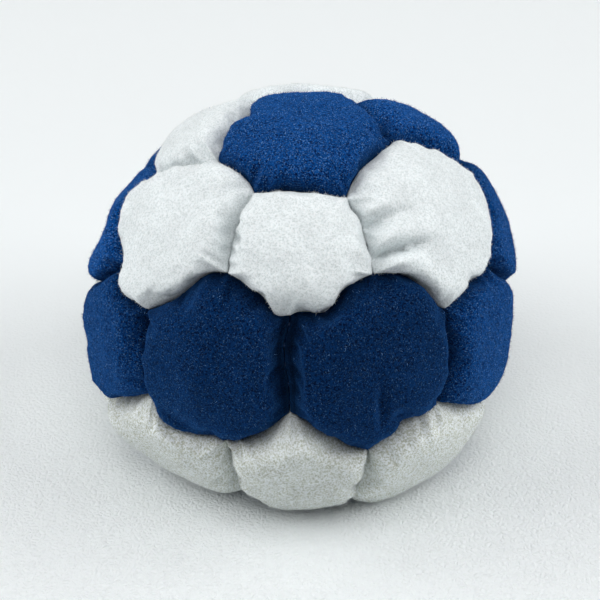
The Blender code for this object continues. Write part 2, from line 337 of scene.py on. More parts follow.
def addMesh(name, points, quads, triangles, material):
    # numpy points, quads and triangles put into a smooth mesh object at the origin
    loops = np.concatenate([quads.ravel(), triangles.ravel()]).astype(np.int32)
    sizes = np.concatenate([np.full(len(quads), 4), np.full(len(triangles), 3)])
    starts = np.concatenate([[0], np.cumsum(sizes)[:-1]]).astype(np.int32)
    data = bpy.data.meshes.new(name)
    data.vertices.add(len(points))
    data.vertices.foreach_set("co", points.astype(np.float32).ravel())
    data.loops.add(len(loops))
    data.loops.foreach_set("vertex_index", loops)
    data.polygons.add(len(sizes))
    data.polygons.foreach_set("loop_start", starts)
    data.update(calc_edges=True)
    data.validate()
    data.shade_smooth()
    if material:
        data.materials.append(material)
    thing = bpy.data.objects.new(name, data)
    bpy.context.scene.collection.objects.link(thing)
    return thing


def linear(hexColour):
    # an sRGB hex colour turned to linear light
    channels = [int(hexColour[i:i + 2], 16) / 255.0 for i in (0, 2, 4)]
    return [c / 12.92 if c <= 0.04045 else ((c + 0.055) / 1.055) ** 2.4 for c in channels] + [1.0]


def feed(tree, node, inputs):
    # each input gets its link or its value
    for socket, value in dict(inputs).items():
        if isinstance(value, bpy.types.NodeSocket):
            tree.links.new(value, node.inputs[socket])
        else:
            node.inputs[socket].default_value = value


def addNode(tree, kind, inputs=(), **settings):
    # a node with its settings, its values and its links
    node = tree.nodes.new(kind)
    for key, value in settings.items():
        setattr(node, key, value)
    feed(tree, node, inputs)
    return node


def startMaterial(name):
    # a new material, its nodes and its shader
    material = bpy.data.materials.new(name)
    material.use_nodes = True
    tree = material.node_tree
    return material, tree, tree.nodes["Principled BSDF"]


suedeTones = {
    # fibre roots, the nap as a whole, fibre tips that catch the light, and the sheen's tint
    "blue_suede": {"root": "03113A", "nap": "104E97", "tip": "6FA0DA", "sheen": "4A9CFF"},
    "white_suede": {"root": "D7DFE0", "nap": "F4FAFC", "tip": "FCFDFD", "sheen": "FFFFFF"},
}
suedeLook = {
    "napGrain": 0.22 * mm,      # clump of fibres
    "tipGrain": 0.15 * mm,      # single bright fibre tips
    "brushGrain": 3.0 * mm,     # patches brushed one way or the other
    "bumpHeight": 0.09 * mm,
    "roughness": 0.95,
    "specular": 0.02,
    "sheen": {"blue_suede": 0.36, "white_suede": 0.1},
    "sheenRoughness": 0.5,
    "seamShade": {"blue_suede": 0.9, "white_suede": 0.15},   # painted shade down in the seams
    "lowShade": {"blue_suede": "FFFFFF", "white_suede": "E0DDCA"},   # painted shade, darker and warmer low down; none on blue
    # under half this height the painted shade is full, and it fades out by this height
    "lowShadeHeight": 27.0 * mm,
}
# Painted shade: how dark each of these panels is made, standing in for the light that reaches it
# less; every other panel takes its colour's rest value
paintedPanelShade = {
    "front_hexagon_top": 0.83, "front_side_pentagon_upper_right": 0.95,
    "front_side_hexagon_upper_left": 1.0, "front_side_hexagon_upper_right": 0.7,
    "front_hexagon_lower_left": 0.33, "front_hexagon_lower_right": 0.30,
    "front_side_pentagon_lower_left": 0.56, "front_side_pentagon_lower_right": 0.68,
    "front_side_pentagon_bottom": 0.93, "front_side_hexagon_lower_left": 0.94,
}
# painted shade of every panel not listed above
restPaintedShade = {"blue_suede": 0.75, "white_suede": 1.0}


def makeSuede(name):
    # suede, leather split and brushed to a nap: matt, speckled by clumps and tips of its
    # fibres, varied by patches brushed one way or the other, with a sheen where the nap is
    # seen from the side. Painted shade darkens whole panels and the seams, and makes the white
    # darker and warmer low down. Real fibres are 0.02 mm across, so clumps of 0.22 mm and tips
    # of 0.15 mm are drawn instead
    tones = suedeTones[name]
    material, tree, shader = startMaterial(name + "_brushed_nap_painted_shade")
    place = addNode(tree, "ShaderNodeTexCoord").outputs["Object"]
    # painted shade of each panel and down its seams, read from the mesh
    paintedShade = addNode(tree, "ShaderNodeAttribute", attribute_name="paintedShade").outputs["Fac"]
    nap = addNode(tree, "ShaderNodeTexNoise", {"Vector": place,
                  "Scale": 1.0 / suedeLook["napGrain"], "Detail": 2.0, "Roughness": 0.6,
                  "Distortion": 0.6}).outputs["Fac"]
    tips = addNode(tree, "ShaderNodeTexNoise", {"Vector": place,
                   "Scale": 1.0 / suedeLook["tipGrain"], "Detail": 1.0,
                   "Roughness": 0.5}).outputs["Fac"]
    brush = addNode(tree, "ShaderNodeTexNoise", {"Vector": place,
                    "Scale": 1.0 / suedeLook["brushGrain"], "Detail": 3.0}).outputs["Fac"]
    clump = addNode(tree, "ShaderNodeMapRange", {"Value": nap, "From Min": 0.39, "From Max": 0.56})
    bright = addNode(tree, "ShaderNodeMapRange", {"Value": tips, "From Min": 0.59,
                     "From Max": 0.74, "To Max": 0.9})
    turned = addNode(tree, "ShaderNodeMapRange", {"Value": brush, "From Min": 0.3,
                     "From Max": 0.7, "To Min": 0.93, "To Max": 1.05})
    napColour = addNode(tree, "ShaderNodeMix", {0: clump.outputs["Result"],
                        6: linear(tones["root"]), 7: linear(tones["nap"])}, data_type="RGBA")
    speckled = addNode(tree, "ShaderNodeMix", {0: bright.outputs["Result"],
                       6: napColour.outputs[2], 7: linear(tones["tip"])}, data_type="RGBA")
    # random brush patches times the painted shade
    shade = addNode(tree, "ShaderNodeMath", {0: turned.outputs["Result"], 1: paintedShade},
                    operation="MULTIPLY")
    brushedAndShaded = addNode(tree, "ShaderNodeVectorMath", {0: speckled.outputs[2],
                      "Scale": shade.outputs[0]}, operation="SCALE")
    # painted shade: darker and warmer towards the bottom, as if lit by light bounced off the floor
    height = addNode(tree, "ShaderNodeSeparateXYZ", {0: place}).outputs["Z"]
    low = addNode(tree, "ShaderNodeMapRange", {"Value": height,
                  "From Min": 0.5 * suedeLook["lowShadeHeight"], "From Max": suedeLook["lowShadeHeight"],
                  "To Min": clump.outputs["Result"]})    # the painted shade falls between the clumps
    lowShade = addNode(tree, "ShaderNodeMix", {0: low.outputs["Result"],
                   6: linear(suedeLook["lowShade"][name]), 7: linear("FFFFFF")}, data_type="RGBA")
    lowShaded = addNode(tree, "ShaderNodeVectorMath", {0: brushedAndShaded.outputs[0], 1: lowShade.outputs[2]},
                     operation="MULTIPLY")
    bump = addNode(tree, "ShaderNodeBump", {"Height": nap, "Strength": 1.0,
                   "Distance": suedeLook["bumpHeight"]})
    feed(tree, shader, {"Base Color": lowShaded.outputs[0], "Normal": bump.outputs[0],
                        "Roughness": suedeLook["roughness"],
                        "Specular IOR Level": suedeLook["specular"],
                        "Sheen Weight": suedeLook["sheen"][name],
                        "Sheen Roughness": suedeLook["sheenRoughness"],
                        "Sheen Tint": linear(tones["sheen"])})
    return material


suede = {name: makeSuede(name) for name in suedeTones}
print("materials made")


def hashed(cells, seed):
    # an integer hash of three cell numbers and a seed, scaled to -1 to 1
    x, y, z = (cells[..., axis].astype(np.uint64) for axis in range(3))
    mixed = (x * np.uint64(374761393) + y * np.uint64(668265263) + z * np.uint64(2246822519)
             + np.uint64(seed * 974634777 + 1)) & np.uint64(0xFFFFFFFF)
    mixed = ((mixed ^ (mixed >> np.uint64(13))) * np.uint64(1274126177)) & np.uint64(0xFFFFFFFF)
    mixed = mixed ^ (mixed >> np.uint64(16))
    return (mixed & np.uint64(0xFFFF)).astype(float) / 32767.5 - 1.0


def lumps(points, size, seed):
    # gradient noise: on a lattice of that cell size, each corner's random slope times the
    # way to it, blended by a quintic; about -1 to 1
    scaled = points / size + 1000.0
    cells = np.floor(scaled).astype(np.int64)
    rest = scaled - cells
    fade = rest ** 3 * (rest * (rest * 6.0 - 15.0) + 10.0)
    total = np.zeros(points.shape[:-1])
    for i in (0, 1):
        for j in (0, 1):
            for k in (0, 1):
                corner = np.array([i, j, k])
                way = rest - corner
                slope = sum(hashed(cells + corner, seed * 3 + axis) * way[..., axis]
                            for axis in range(3))
                weight = np.prod(np.where(corner == 1, fade, 1.0 - fade), axis=-1)
                total += slope * weight
    return total * 1.6


# What the sand and the hands have done to the skin
skinLook = {
    "warpSize": 7.0 * mm, "warp": 0.5 * mm,        # seams that wander
    "lumpSize": 5.0 * mm, "lump": 0.2 * mm,        # sand behind the suede
    "creaseSize": 2.2 * mm, "crease": 0.06 * mm,
    "pucker": 0.26 * mm, "puckerReach": 1.8 * mm,   # the stitches draw the edge in
    "puckerUsual": 0.55, "puckerSpread": 1.1, "puckerMost": 1.5,   # how unevenly
    "puckerRise": 2.5,        # how fast it sets in above the seam
    "puckerInward": 0.7,      # in from the seam's plane, against down into the bag
    "stitchPitch": 2.6 * mm,
    "sag": 0.9 * mm,          # how far the skin hangs down over its seams
    "sagFloor": 20.0 * mm,    # the height under which the floor holds the skin up
    "leanMost": 1.3,          # of the height over the seam, against the rolled edge's
    "dentFade": 0.5,          # power of the height over the seam by which dents fade out
    "napSize": 0.55 * mm, "nap": 0.07 * mm, "napFine": 0.6,
}
seeds = {"nap": 7, "napFine": 8, "pucker": 17, "cloth": 20, "warp": 40, "lump": 60, "crease": 100,
         "sand": 5}
# How far a panel stands out over its neighbours, or lies behind them, in mm
proud = {
    "front_pentagon": 0.3, "front_hexagon_upper_left": 0.1, "front_hexagon_upper_right": 0.1,
    "front_side_pentagon_bottom": 0.35, "front_side_hexagon_lower_left": 0.3,
    "front_side_hexagon_lower_right": 0.35, "front_side_pentagon_lower_left": 0.3,
    "front_side_pentagon_lower_right": 0.2, "rear_side_hexagon_lower_left": -0.7,
    "rear_side_hexagon_lower_right": -0.6,
}


def warpField(points):
    # the same wander for every panel, so neighbours never cross: three noises, one an axis
    shifts = np.stack([lumps(points, skinLook["warpSize"], seeds["warp"] + axis)
                       for axis in range(3)], axis=1)
    return shifts * skinLook["warp"]


# The cloth simulation that plumps the skins: all the panels at once, pinned along their
# seams, in a coarse grid and enlarged, because the solver is tuned for things a metre big
clothMake = {
    "half": 6, "rollSteps": 5, "allowanceSteps": 1,
    "enlarge": 20.0,
    "frames": 20,
    "pressure": 4.0,
    "excess": 0.08,          # how much more suede than the smooth form needs
    "start": 0.3 * mm,       # lumps that the skin starts with, so that it buckles somewhere
    "startSize": 5.0 * mm,
    "cap": 1.4 * mm,         # the most that a point may move
}


def plumpSkins():
    # {panel: how far each coarse point moves}
    make = clothMake
    coarse, starts, faces, held = {}, [], [], []
    count = 0
    for number, (name, panel) in enumerate(plan.items()):
        points, quads, rings, seamward, around = panelSkin(
            panel, make["half"], make["rollSteps"], make["allowanceSteps"], panelMake["crown"],
            panelMake["slack"])
        normals = quadNormals(points, quads)
        lump = lumps(points, make["startSize"], number + seeds["cloth"])
        lump = lump * np.clip(seamward, 0.0, 1.0)
        coarse[name] = (count, points)
        starts.append(points + normals * (lump * make["start"])[:, None])
        faces.append(quads + count)
        held.append(np.flatnonzero(seamward <= 1e-6) + count)
        count += len(points)
    everyPoint = np.concatenate(starts) * make["enlarge"]
    cloth = addMesh("cloth", everyPoint, np.concatenate(faces), np.empty((0, 3), int), None)
    pins = cloth.vertex_groups.new(name="sewn")
    pins.add(np.concatenate(held).tolist(), 1.0, "REPLACE")
    modifier = cloth.modifiers.new("cloth", "CLOTH")
    settings = modifier.settings
    settings.vertex_group_mass = "sewn"
    settings.use_pressure = True
    settings.uniform_pressure_force = make["pressure"]
    settings.shrink_min = -make["excess"]
    settings.effector_weights.gravity = 0.0
    modifier.collision_settings.use_collision = False
    for number in range(1, make["frames"] + 1):
        bpy.context.scene.frame_set(number)
    shaped = cloth.evaluated_get(bpy.context.evaluated_depsgraph_get())
    settled = np.empty(count * 3, np.float32)
    shaped.data.vertices.foreach_get("co", settled)
    settled = settled.reshape(-1, 3).astype(float) / make["enlarge"]
    bpy.data.objects.remove(cloth)
    bpy.context.scene.frame_set(1)
    moves = {}
    for name, (start, points) in coarse.items():
        move = settled[start:start + len(points)] - points
        length = np.linalg.norm(move, axis=1, keepdims=True)
        moves[name] = move * np.minimum(1.0, make["cap"] / np.maximum(length, 1e-9))
    return moves


def finer(coarse, sides):
    # a coarse skin's values on the fine grid: bilinear within each cell of the kites, and
    # between the columns and rings of the collar
    fineHalf, half = panelMake["half"], clothMake["half"]
    times = fineHalf // half
    kite, a, b = kitePoints(sides, fineHalf)
    cellA, cellB = np.minimum(a // times, half - 1), np.minimum(b // times, half - 1)
    partA, partB = (a / times - cellA)[:, None], (b / times - cellB)[:, None]
    grid = sum((partA if i else 1.0 - partA) * (partB if j else 1.0 - partB)
               * coarse[gridIndex(sides, half, kite, cellA + i, cellB + j)]
               for i in (0, 1) for j in (0, 1))
    rim = rimIndex(sides, half)
    first = 1 + sides * half * (half + 1)
    rings = np.concatenate([coarse[rim][None], coarse[first:].reshape(-1, len(rim), 3)])
    column = np.arange(len(rim) * times) // times
    part = ((np.arange(len(rim) * times) % times) / times)[:, None]
    rings = rings[:, column] * (1.0 - part) + rings[:, (column + 1) % len(rim)] * part
    roll = np.arange(1, panelMake["rollSteps"] + 1) / panelMake["rollSteps"]
    down = np.arange(1, panelMake["allowanceSteps"] + 1) / panelMake["allowanceSteps"]
    row = np.concatenate([roll * clothMake["rollSteps"],
                          clothMake["rollSteps"] + down * clothMake["allowanceSteps"]])
    low = np.minimum(row.astype(int), len(rings) - 2)
    part = (row - low)[:, None, None]
    collar = rings[low] * (1.0 - part) + rings[low + 1] * part
    return np.concatenate([coarse[:1], grid, collar.reshape(-1, 3)])


def smoothed(values, faces, times):
    # each value becomes the mean of its face neighbours' values and its own, some times over
    ends = np.concatenate([faces[:, [i, (i + 1) % 4]] for i in range(4)])
    here, there = np.concatenate([ends, ends[:, ::-1]]).T
    count = np.bincount(here, minlength=len(values))[:, None] + 2.0
    for turn in range(times):
        total = np.stack([np.bincount(here, values[there, axis], len(values))
                          for axis in range(values.shape[1])], axis=1)
        values = (total + 2.0 * values) / count
    return values


# Seams that gape: the two panels and half the groove's width
gapeReach = 5.0 * mm          # how far from the seam the skin gives way
gapeRise = 0.35               # power of the height over the seam by which the groove opens
gapKept = 0.8                 # of half the gap, which no point comes nearer to a seam's plane
gapBlend = 0.1 * mm           # how softly it is held there
gapingSeams = {
    frozenset(("front_hexagon_lower_right", "front_hexagon_lower_left")): 1.5 * mm,
}

# Where a panel's skin is pushed in or stands out: azimuth and elevation from the bag's
# middle in degrees, how far it reaches across and up, its turn in degrees and its height
dents = {
    "front_hexagon_upper_right": (
        (31, 50, 1.6, 0.9, 2, -1.89), (40, 50, 2.0, 0.7, -13, -0.66),
        (29, 41, 1.7, 0.6, 16, -2.08), (38, 41, 2.2, 0.5, -8, -1.7),
        (33, 45, 2.0, 0.8, 5, 0.85), (35, 38, 2.3, 0.9, -1, 0.94),
        (23, 45, 1.7, 0.7, 83, -0.94), (34, 63, 1.1, 0.7, 67, -1.32),
        (28, 48, 2.4, 1.6, 25, -1.5), (36, 40, 2.8, 0.9, -15, -1.15),
        (47, 41, 3.0, 2.0, 0, 0.4),
    ),
    "front_pentagon": (
        (17, 40, 1.1, 0.8, 48, -0.5), (-24, 46, 2.9, 0.8, 98, -0.5), (0, 37, 2.4, 1.3, 0, 0.3),
        (0, 29, 7.0, 1.6, 0, -0.9),
    ),
    "front_hexagon_lower_left": (
        (-13, 31, 1.4, 0.9, 66, -0.6), (-11, -6, 3.2, 1.6, 55, -0.8),
        (-31, -7, 3.6, 1.6, -20, -0.8),
    ),
    "front_hexagon_lower_right": (
        (26, -2, 1.8, 1.2, -21, -1.2), (20, 3, 2.8, 0.6, 91, -0.8), (8, 31, 1.5, 0.9, 15, -0.5),
        (7, -6, 3.2, 1.6, -45, -0.8), (29, -7, 3.6, 1.6, 35, -0.8),
    ),
    "front_side_pentagon_lower_left": (
        (-47, 9, 4.8, 1.8, 97, -0.9),
    ),
    "front_side_pentagon_lower_right": (
        (41, 7, 3.7, 1.1, 87, -0.6),
    ),
    "front_side_hexagon_lower_left": (
        (-33, -44, 6.0, 2.0, 10, -0.6), (-33, -12, 4.0, 2.2, -20, 0.7),
    ),
    "front_side_pentagon_bottom": (
        (-2, -5, 3.5, 3.5, 0, 1.3),
    ),
    "front_side_hexagon_lower_right": (
        (31, -12, 4.0, 2.2, 35, 0.7),
    ),
}

# Where an edge lies over its neighbour: azimuth and elevation in degrees, then how far the
# skin leans east and up
leanReach = 3.5 * mm
leans = (
    (-31, -5, 0.0, 0.8), (-21, -6, 0.0, 0.7), (-11, -4, 0.0, 0.8), (-2, 0, 0.0, 0.6),
    (7, -5, 0.0, 0.8), (17, -8, 0.0, 0.7), (28, -6, 0.0, 0.8),
)

# Where the sand bulges the bag or leaves it slack: azimuth and elevation in degrees, then
# how far out
swellReach = 6.5 * mm
swells = (
    (128, 51, 1.0), (-123, 47, -0.2), (112, 39, 0.3), (-109, 36, -1.1), (104, 31, 0.4),
    (-101, 27, -0.6), (-94, 18, -1.2), (94, 18, 0.2), (87, 7, -0.4), (-76, -7, -0.3),
    (76, -8, -0.2), (-71, -14, 0.8), (-64, -21, 1.0), (-48, -35, -0.3), (-35, -41, -1.0),
    (-23, -45, 0.2), (-6, -48, -0.5),
)

# Where hand sewing and the sand have pulled the seams along the surface: azimuth and
# elevation in degrees, then how far east and up
pullReach = 4.0 * mm
tuckReach = 1.8 * mm
tucks = (
    (-7, 31, -0.3, -1.0), (7, 31, 0.3, -1.1), (-3, 29, 0.0, 0.6),
)
pulls = (
    (-129, 73, -0.3, -0.6), (-157, 72, -0.8, -2.0), (-82, 72, -1.1, -0.5), (125, 71, 0.8, 0.1),
    (93, 70, -0.1, -0.5), (152, 70, 0.9, -2.0), (49, 64, -0.2, 0.5), (-40, 62, 0.0, 0.9),
    (76, 62, 1.6, 0.0), (-8, 60, 0.0, 0.8), (28, 60, -0.2, -0.2), (-22, 54, -0.8, -0.2),
    (20, 54, 0.8, 0.4), (85, 54, 1.5, 0.8), (89, 46, 1.3, -1.9), (-22, 45, -0.6, -0.1),
    (21, 43, 0.7, -0.3), (-78, 40, -2.1, -0.8), (82, 39, 1.4, -0.4), (12, 35, -0.3, 0.1),
    (25, 34, 0.2, 0.6), (73, 34, 2.1, -1.6), (-28, 33, -0.7, 1.3), (-67, 32, -1.2, -0.8),
    (3, 32, 0.4, -0.4), (33, 28, 1.8, 1.2), (59, 28, 1.2, -1.0), (46, 27, 0.0, -0.8),
    (-55, 26, -1.3, -2.2), (-41, 26, 0.3, -0.4), (-63, 22, 0.0, 1.4), (40, 21, 0.2, -0.4),
    (-2, 18, -0.9, 0.0), (-69, 15, -0.9, -0.8), (69, 15, 1.2, -0.3), (-41, 12, -1.1, -0.1),
    (-62, 8, -0.6, 0.0), (36, 8, 1.3, -0.4), (60, 8, 0.3, 0.0), (74, 6, 2.3, 0.0),
    (-76, 5, -3.5, 0.0), (-102, 4, -2.8, 0.0), (100, 4, 1.7, 0.0), (0, 3, -0.2, -0.2),
    (-116, 0, -1.2, 0.0), (86, 0, 2.3, 0.0), (112, 0, 0.8, 0.0), (-35, -1, -1.8, -2.2),
    (-14, -1, 0.0, -2.2), (-88, -2, -3.5, 0.0), (-44, -2, 0.6, 1.0), (42, -2, -0.3, -1.2),
    (-27, -3, -0.5, -1.9), (28, -3, 0.8, -0.9), (68, -5, 2.2, 0.0), (-70, -6, -3.2, 0.1),
    (13, -6, -0.8, -1.1), (-53, -7, -2.2, -2.2), (54, -8, 1.7, -1.4), (92, -12, 1.3, 0.0),
    (-94, -14, -2.0, 0.0), (13, -14, 1.9, -0.6), (78, -14, 1.8, 0.0), (62, -15, 0.4, 0.0),
    (-80, -16, -2.5, 0.0), (-64, -16, -0.7, -0.4), (-17, -20, -0.1, -0.2), (14, -26, 0.4, -0.2),
    (-18, -40, 0.4, -1.3),
)


def shifted(points, table, span):
    # the sum of a table's shifts, each times exp(-(way along the surface / span) squared)
    shifts = np.zeros_like(points)
    rays = unit(points)
    for azimuth, elevation, east, up in table:
        ray, eastward, upward = aimed(azimuth, elevation)
        away = np.linalg.norm(rays - ray, axis=1) * bag["sideRadius"] / span
        bell = np.exp(-away ** 2)[:, None]
        shifts = shifts + bell * (eastward * east * mm + upward * up * mm)
    return shifts


def pullField(points):
    # every pull and tuck, and every swell along the point's own ray
    rays = unit(points)
    out = np.zeros(len(points))
    for azimuth, elevation, height in swells:
        away = np.linalg.norm(rays - aimed(azimuth, elevation)[0], axis=1) * bag["sideRadius"]
        out += height * mm * np.exp(-(away / swellReach) ** 2)
    shifts = shifted(points, pulls, pullReach) + shifted(points, tucks, tuckReach)
    return shifts + rays * out[:, None]


def leanField(points):
    # the skin's own shift over its seams, in proportion to the height above the seam: down
    # the side with the cosine of the elevation, and sideways by the leans
    rays = unit(points)
    seamDepth = panelMake["rollDepth"] + panelMake["crown"]
    height = np.linalg.norm(points, axis=1) - reach(rays, seamDepth)
    share = np.clip(height / panelMake["rollDepth"], 0.0,
                    skinLook["leanMost"])[:, None]
    level = np.hypot(rays[:, 0], rays[:, 1])[:, None]
    flat = np.stack([rays[:, 0], rays[:, 1]], axis=1) / np.maximum(level, 1e-6)
    down = np.concatenate([flat * rays[:, 2:], -level], axis=1)
    free = np.clip((points[:, 2:] + bag["baseHeight"]) / skinLook["sagFloor"], 0.0, 1.0)
    shifts = down * level * free * skinLook["sag"] + shifted(points, leans, leanReach)
    return shifts * share


def puckered(points, panel, seamward, around):
    # at each stitch the skin is drawn in from the seam's plane and towards the bag's middle,
    # by half a cosine along the seam that fades with the distance from it
    sides = len(panel["rays"])
    side = np.floor(around).astype(int) % sides
    run = around - np.floor(around)
    ends = panel["rays"] * bag["sideRadius"]
    lengths = np.linalg.norm(ends - np.roll(ends, -1, axis=0), axis=1)
    stitches = np.round(lengths / skinLook["stitchPitch"])[side]
    wave = 0.5 - 0.5 * np.cos(2.0 * math.pi * run * stitches)
    plane = panel["planes"][side]
    away = np.sum(points * plane, axis=1) / skinLook["puckerReach"]
    chance = lumps(points, skinLook["lumpSize"], seeds["pucker"])
    uneven = np.clip(skinLook["puckerUsual"] + skinLook["puckerSpread"] * chance, 0.0,
                     skinLook["puckerMost"])
    start = np.clip(seamward * skinLook["puckerRise"], 0.0, 1.0)
    pull = wave * uneven * np.exp(-away ** 2) * start
    inward = skinLook["puckerInward"] * plane - unit(points)
    return points + inward * (pull * skinLook["pucker"])[:, None]


def dentHeights(points, name):
    # every dent of the panel: its height times a bell curve of an ellipse round its place
    heights = np.zeros(len(points))
    for azimuth, elevation, across, along, turn, height in dents.get(name, ()):
        ray, east, up = aimed(azimuth, elevation)
        place = ray * reach(ray, 0.0)
        turn = math.radians(turn)
        x = (points - place) @ (east * math.cos(turn) + up * math.sin(turn))
        y = (points - place) @ (up * math.cos(turn) - east * math.sin(turn))
        heights += height * mm * np.exp(-(x / (across * mm)) ** 2 - (y / (along * mm)) ** 2)
    return heights


def neighbour(name, number):
    # the panel across a side: the one that holds both its corners
    rays = plan[name]["rays"]
    ends = rays[number], rays[(number + 1) % len(rays)]
    for other, panel in plan.items():
        if other != name and all(np.isclose(panel["rays"], end).all(axis=1).any() for end in ends):
            return other


def ownSide(points, name, seamward):
    # a point that has crossed a seam's plane goes back to the gap's distance from it, and a
    # gaping seam's gap grows towards the surface
    panel = plan[name]
    for number, plane in enumerate(panel["planes"]):
        seam = frozenset((name, neighbour(name, number)))
        away = points @ plane
        fade = np.clip(1.0 - away / gapeReach, 0.0, 1.0) ** 2
        gape = gapingSeams.get(seam, 0.0) * fade * np.clip(seamward, 0.0, 1.0) ** gapeRise
        points = points + gape[:, None] * plane
        short = gapKept * panelMake["halfGap"] - points @ plane
        short = 0.5 * (short + np.sqrt(short ** 2 + gapBlend ** 2)) - 0.5 * gapBlend
        points = points + np.maximum(short, 0.0)[:, None] * plane
    return points


def pressed(points):
    # a soft minimum of each point's distance from the bag's middle and the crowns' surface
    far = np.linalg.norm(points, axis=1)
    rays = points / far[:, None]
    over = far - reach(rays, 0.0)
    low = 0.5 * (over + np.sqrt(over ** 2 + panelMake["crownBlend"] ** 2))
    return rays * (far - low)[:, None]


def makePanel(name, number):
    # the plain skin, swollen by the cloth, then creased, puckered, leant, pulled and dented;
    # a wall inside it along its normals, and the nap's own roughness last
    panel = plan[name]
    make = panelMake
    sides = len(panel["rays"])
    points, faces, rings, seamward, around = panelSkin(
        panel, make["half"], make["rollSteps"], make["allowanceSteps"], make["crown"],
        make["slack"])
    held = np.clip(seamward, 0.0, 1.0)[:, None]          # 1 on the crown, 0 at the seam
    swell = smoothed(finer(moves[name], sides), faces, make["smoothing"])
    points = np.where(seamward[:, None] > 0.0, pressed(points + swell), points)
    relief = sum(lumps(points, skinLook[kind + "Size"], number + seeds[kind]) * skinLook[kind]
                 for kind in ("lump", "crease"))
    skin = points + quadNormals(points, faces) * relief[:, None] * held
    skin = ownSide(puckered(skin, panel, seamward, around), name, seamward)
    skin = skin + leanField(skin)
    skin = skin + warpField(skin) + pullField(skin)
    slotName = "white_suede" if name in whitePanels else "blue_suede"
    rise = dentHeights(skin, name) + proud.get(name, 0.0) * mm
    skin = skin + unit(skin) * (rise * held[:, 0] ** skinLook["dentFade"])[:, None]
    normals = quadNormals(skin, faces)
    wall = skin - normals * make["thickness"]
    fine = lumps(points, skinLook["napSize"] / 2.0, seeds["napFine"])
    nap = lumps(points, skinLook["napSize"], seeds["nap"]) + skinLook["napFine"] * fine
    skin = skin + normals * (nap * skinLook["nap"])[:, None] * held

    # the inside of the suede: every fourth point of the grid and of a few rings
    step = make["half"] // make["wallHalf"]
    kite, a, b = kitePoints(sides, make["wallHalf"])
    chosen = np.concatenate([[0], gridIndex(sides, make["half"], kite, a * step, b * step)])
    wallRim = rimIndex(sides, make["wallHalf"])
    picks = np.linspace(0, len(rings) - 1, make["wallSteps"] + 1).astype(int)[1:]
    picked = [rings[pick][::step] for pick in picks]
    wallPoints = np.concatenate([wall[chosen]] + [wall[ring] for ring in picked])
    offset = len(skin)
    wallRings, wallFaces = collared(gridFaces(sides, make["wallHalf"]), wallRim, len(chosen),
                                    len(picked))
    quads = np.concatenate([faces, wallFaces[:, ::-1] + offset])

    # the raw edge: five triangles from four fine steps to one step of the inside
    fine, coarse = rings[-1].reshape(-1, step), wallRings[-1] + offset
    nextFine, nextCoarse = np.roll(fine[:, 0], -1), np.roll(coarse, -1)
    fan = [(coarse, fine[:, 1], fine[:, 0]), (coarse, fine[:, 2], fine[:, 1]),
           (coarse, nextCoarse, fine[:, 2]), (nextCoarse, fine[:, 3], fine[:, 2]),
           (nextCoarse, nextFine, fine[:, 3])]
    triangles = np.concatenate([np.stack(three, axis=1) for three in fan])
    points = np.concatenate([skin, wallPoints]) + middle
    points[:, 2] = np.maximum(points[:, 2], 0.0)
    skins[name] = (points[:len(skin)], faces, seamward)
    piece = addMesh("suede_" + name, points, quads, triangles, suede[slotName])
    # painted shade: the panel's own, deeper towards its seams
    paintedShade = piece.data.attributes.new("paintedShade", "FLOAT", "POINT")
    flat = np.zeros(len(points))
    flat[:len(skin)] = 1.0 - held[:, 0]
    paintedShade.data.foreach_set("value", paintedPanelShade.get(name, restPaintedShade[slotName])
                         * (1.0 - suedeLook["seamShade"][slotName] * flat))
    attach(piece, "root")
    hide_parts(name)
    return piece


whitePanels = [row["node"] for row in frame["record"]["subparts"]
               if row["material_slot"] == "white_suede"]
skins = {}
moves = plumpSkins()
print("skins plumped")
pieces = [makePanel(name, number) for number, name in enumerate(plan)]
print("panels made:", sum(len(piece.data.polygons) for piece in pieces), "faces")

# The sand behind the suede: a swell in every panel, parted by a channel round each seam
sandMake = {
    "half": 12,
    "depth": 2.2 * mm,        # under the crowns' surface
    "wallInset": 1.9 * mm,    # from the seam's plane to the swell's side
    "swellInset": 1.6 * mm,   # of its top past that
    "side": ((1.0 * mm, 0.3 * mm), (0.6 * mm, 0.8 * mm), (0.0, 1.6 * mm)),   # inset and drop
    "channelDepth": 6.6 * mm,
    "overFloor": 1.3 * mm,    # the suede lies under it
    "weld": 0.001 * mm,       # points nearer than this are one
    "grain": 0.55 * mm, "rough": 0.08 * mm,   # the lumps that the grains make
    "grainShown": 0.5 * mm,
}


def settled(points):
    # a hidden point goes where the leans, the wander and the pulls take the skin over it
    points = points + leanField(points)
    return points + warpField(points) + pullField(points)


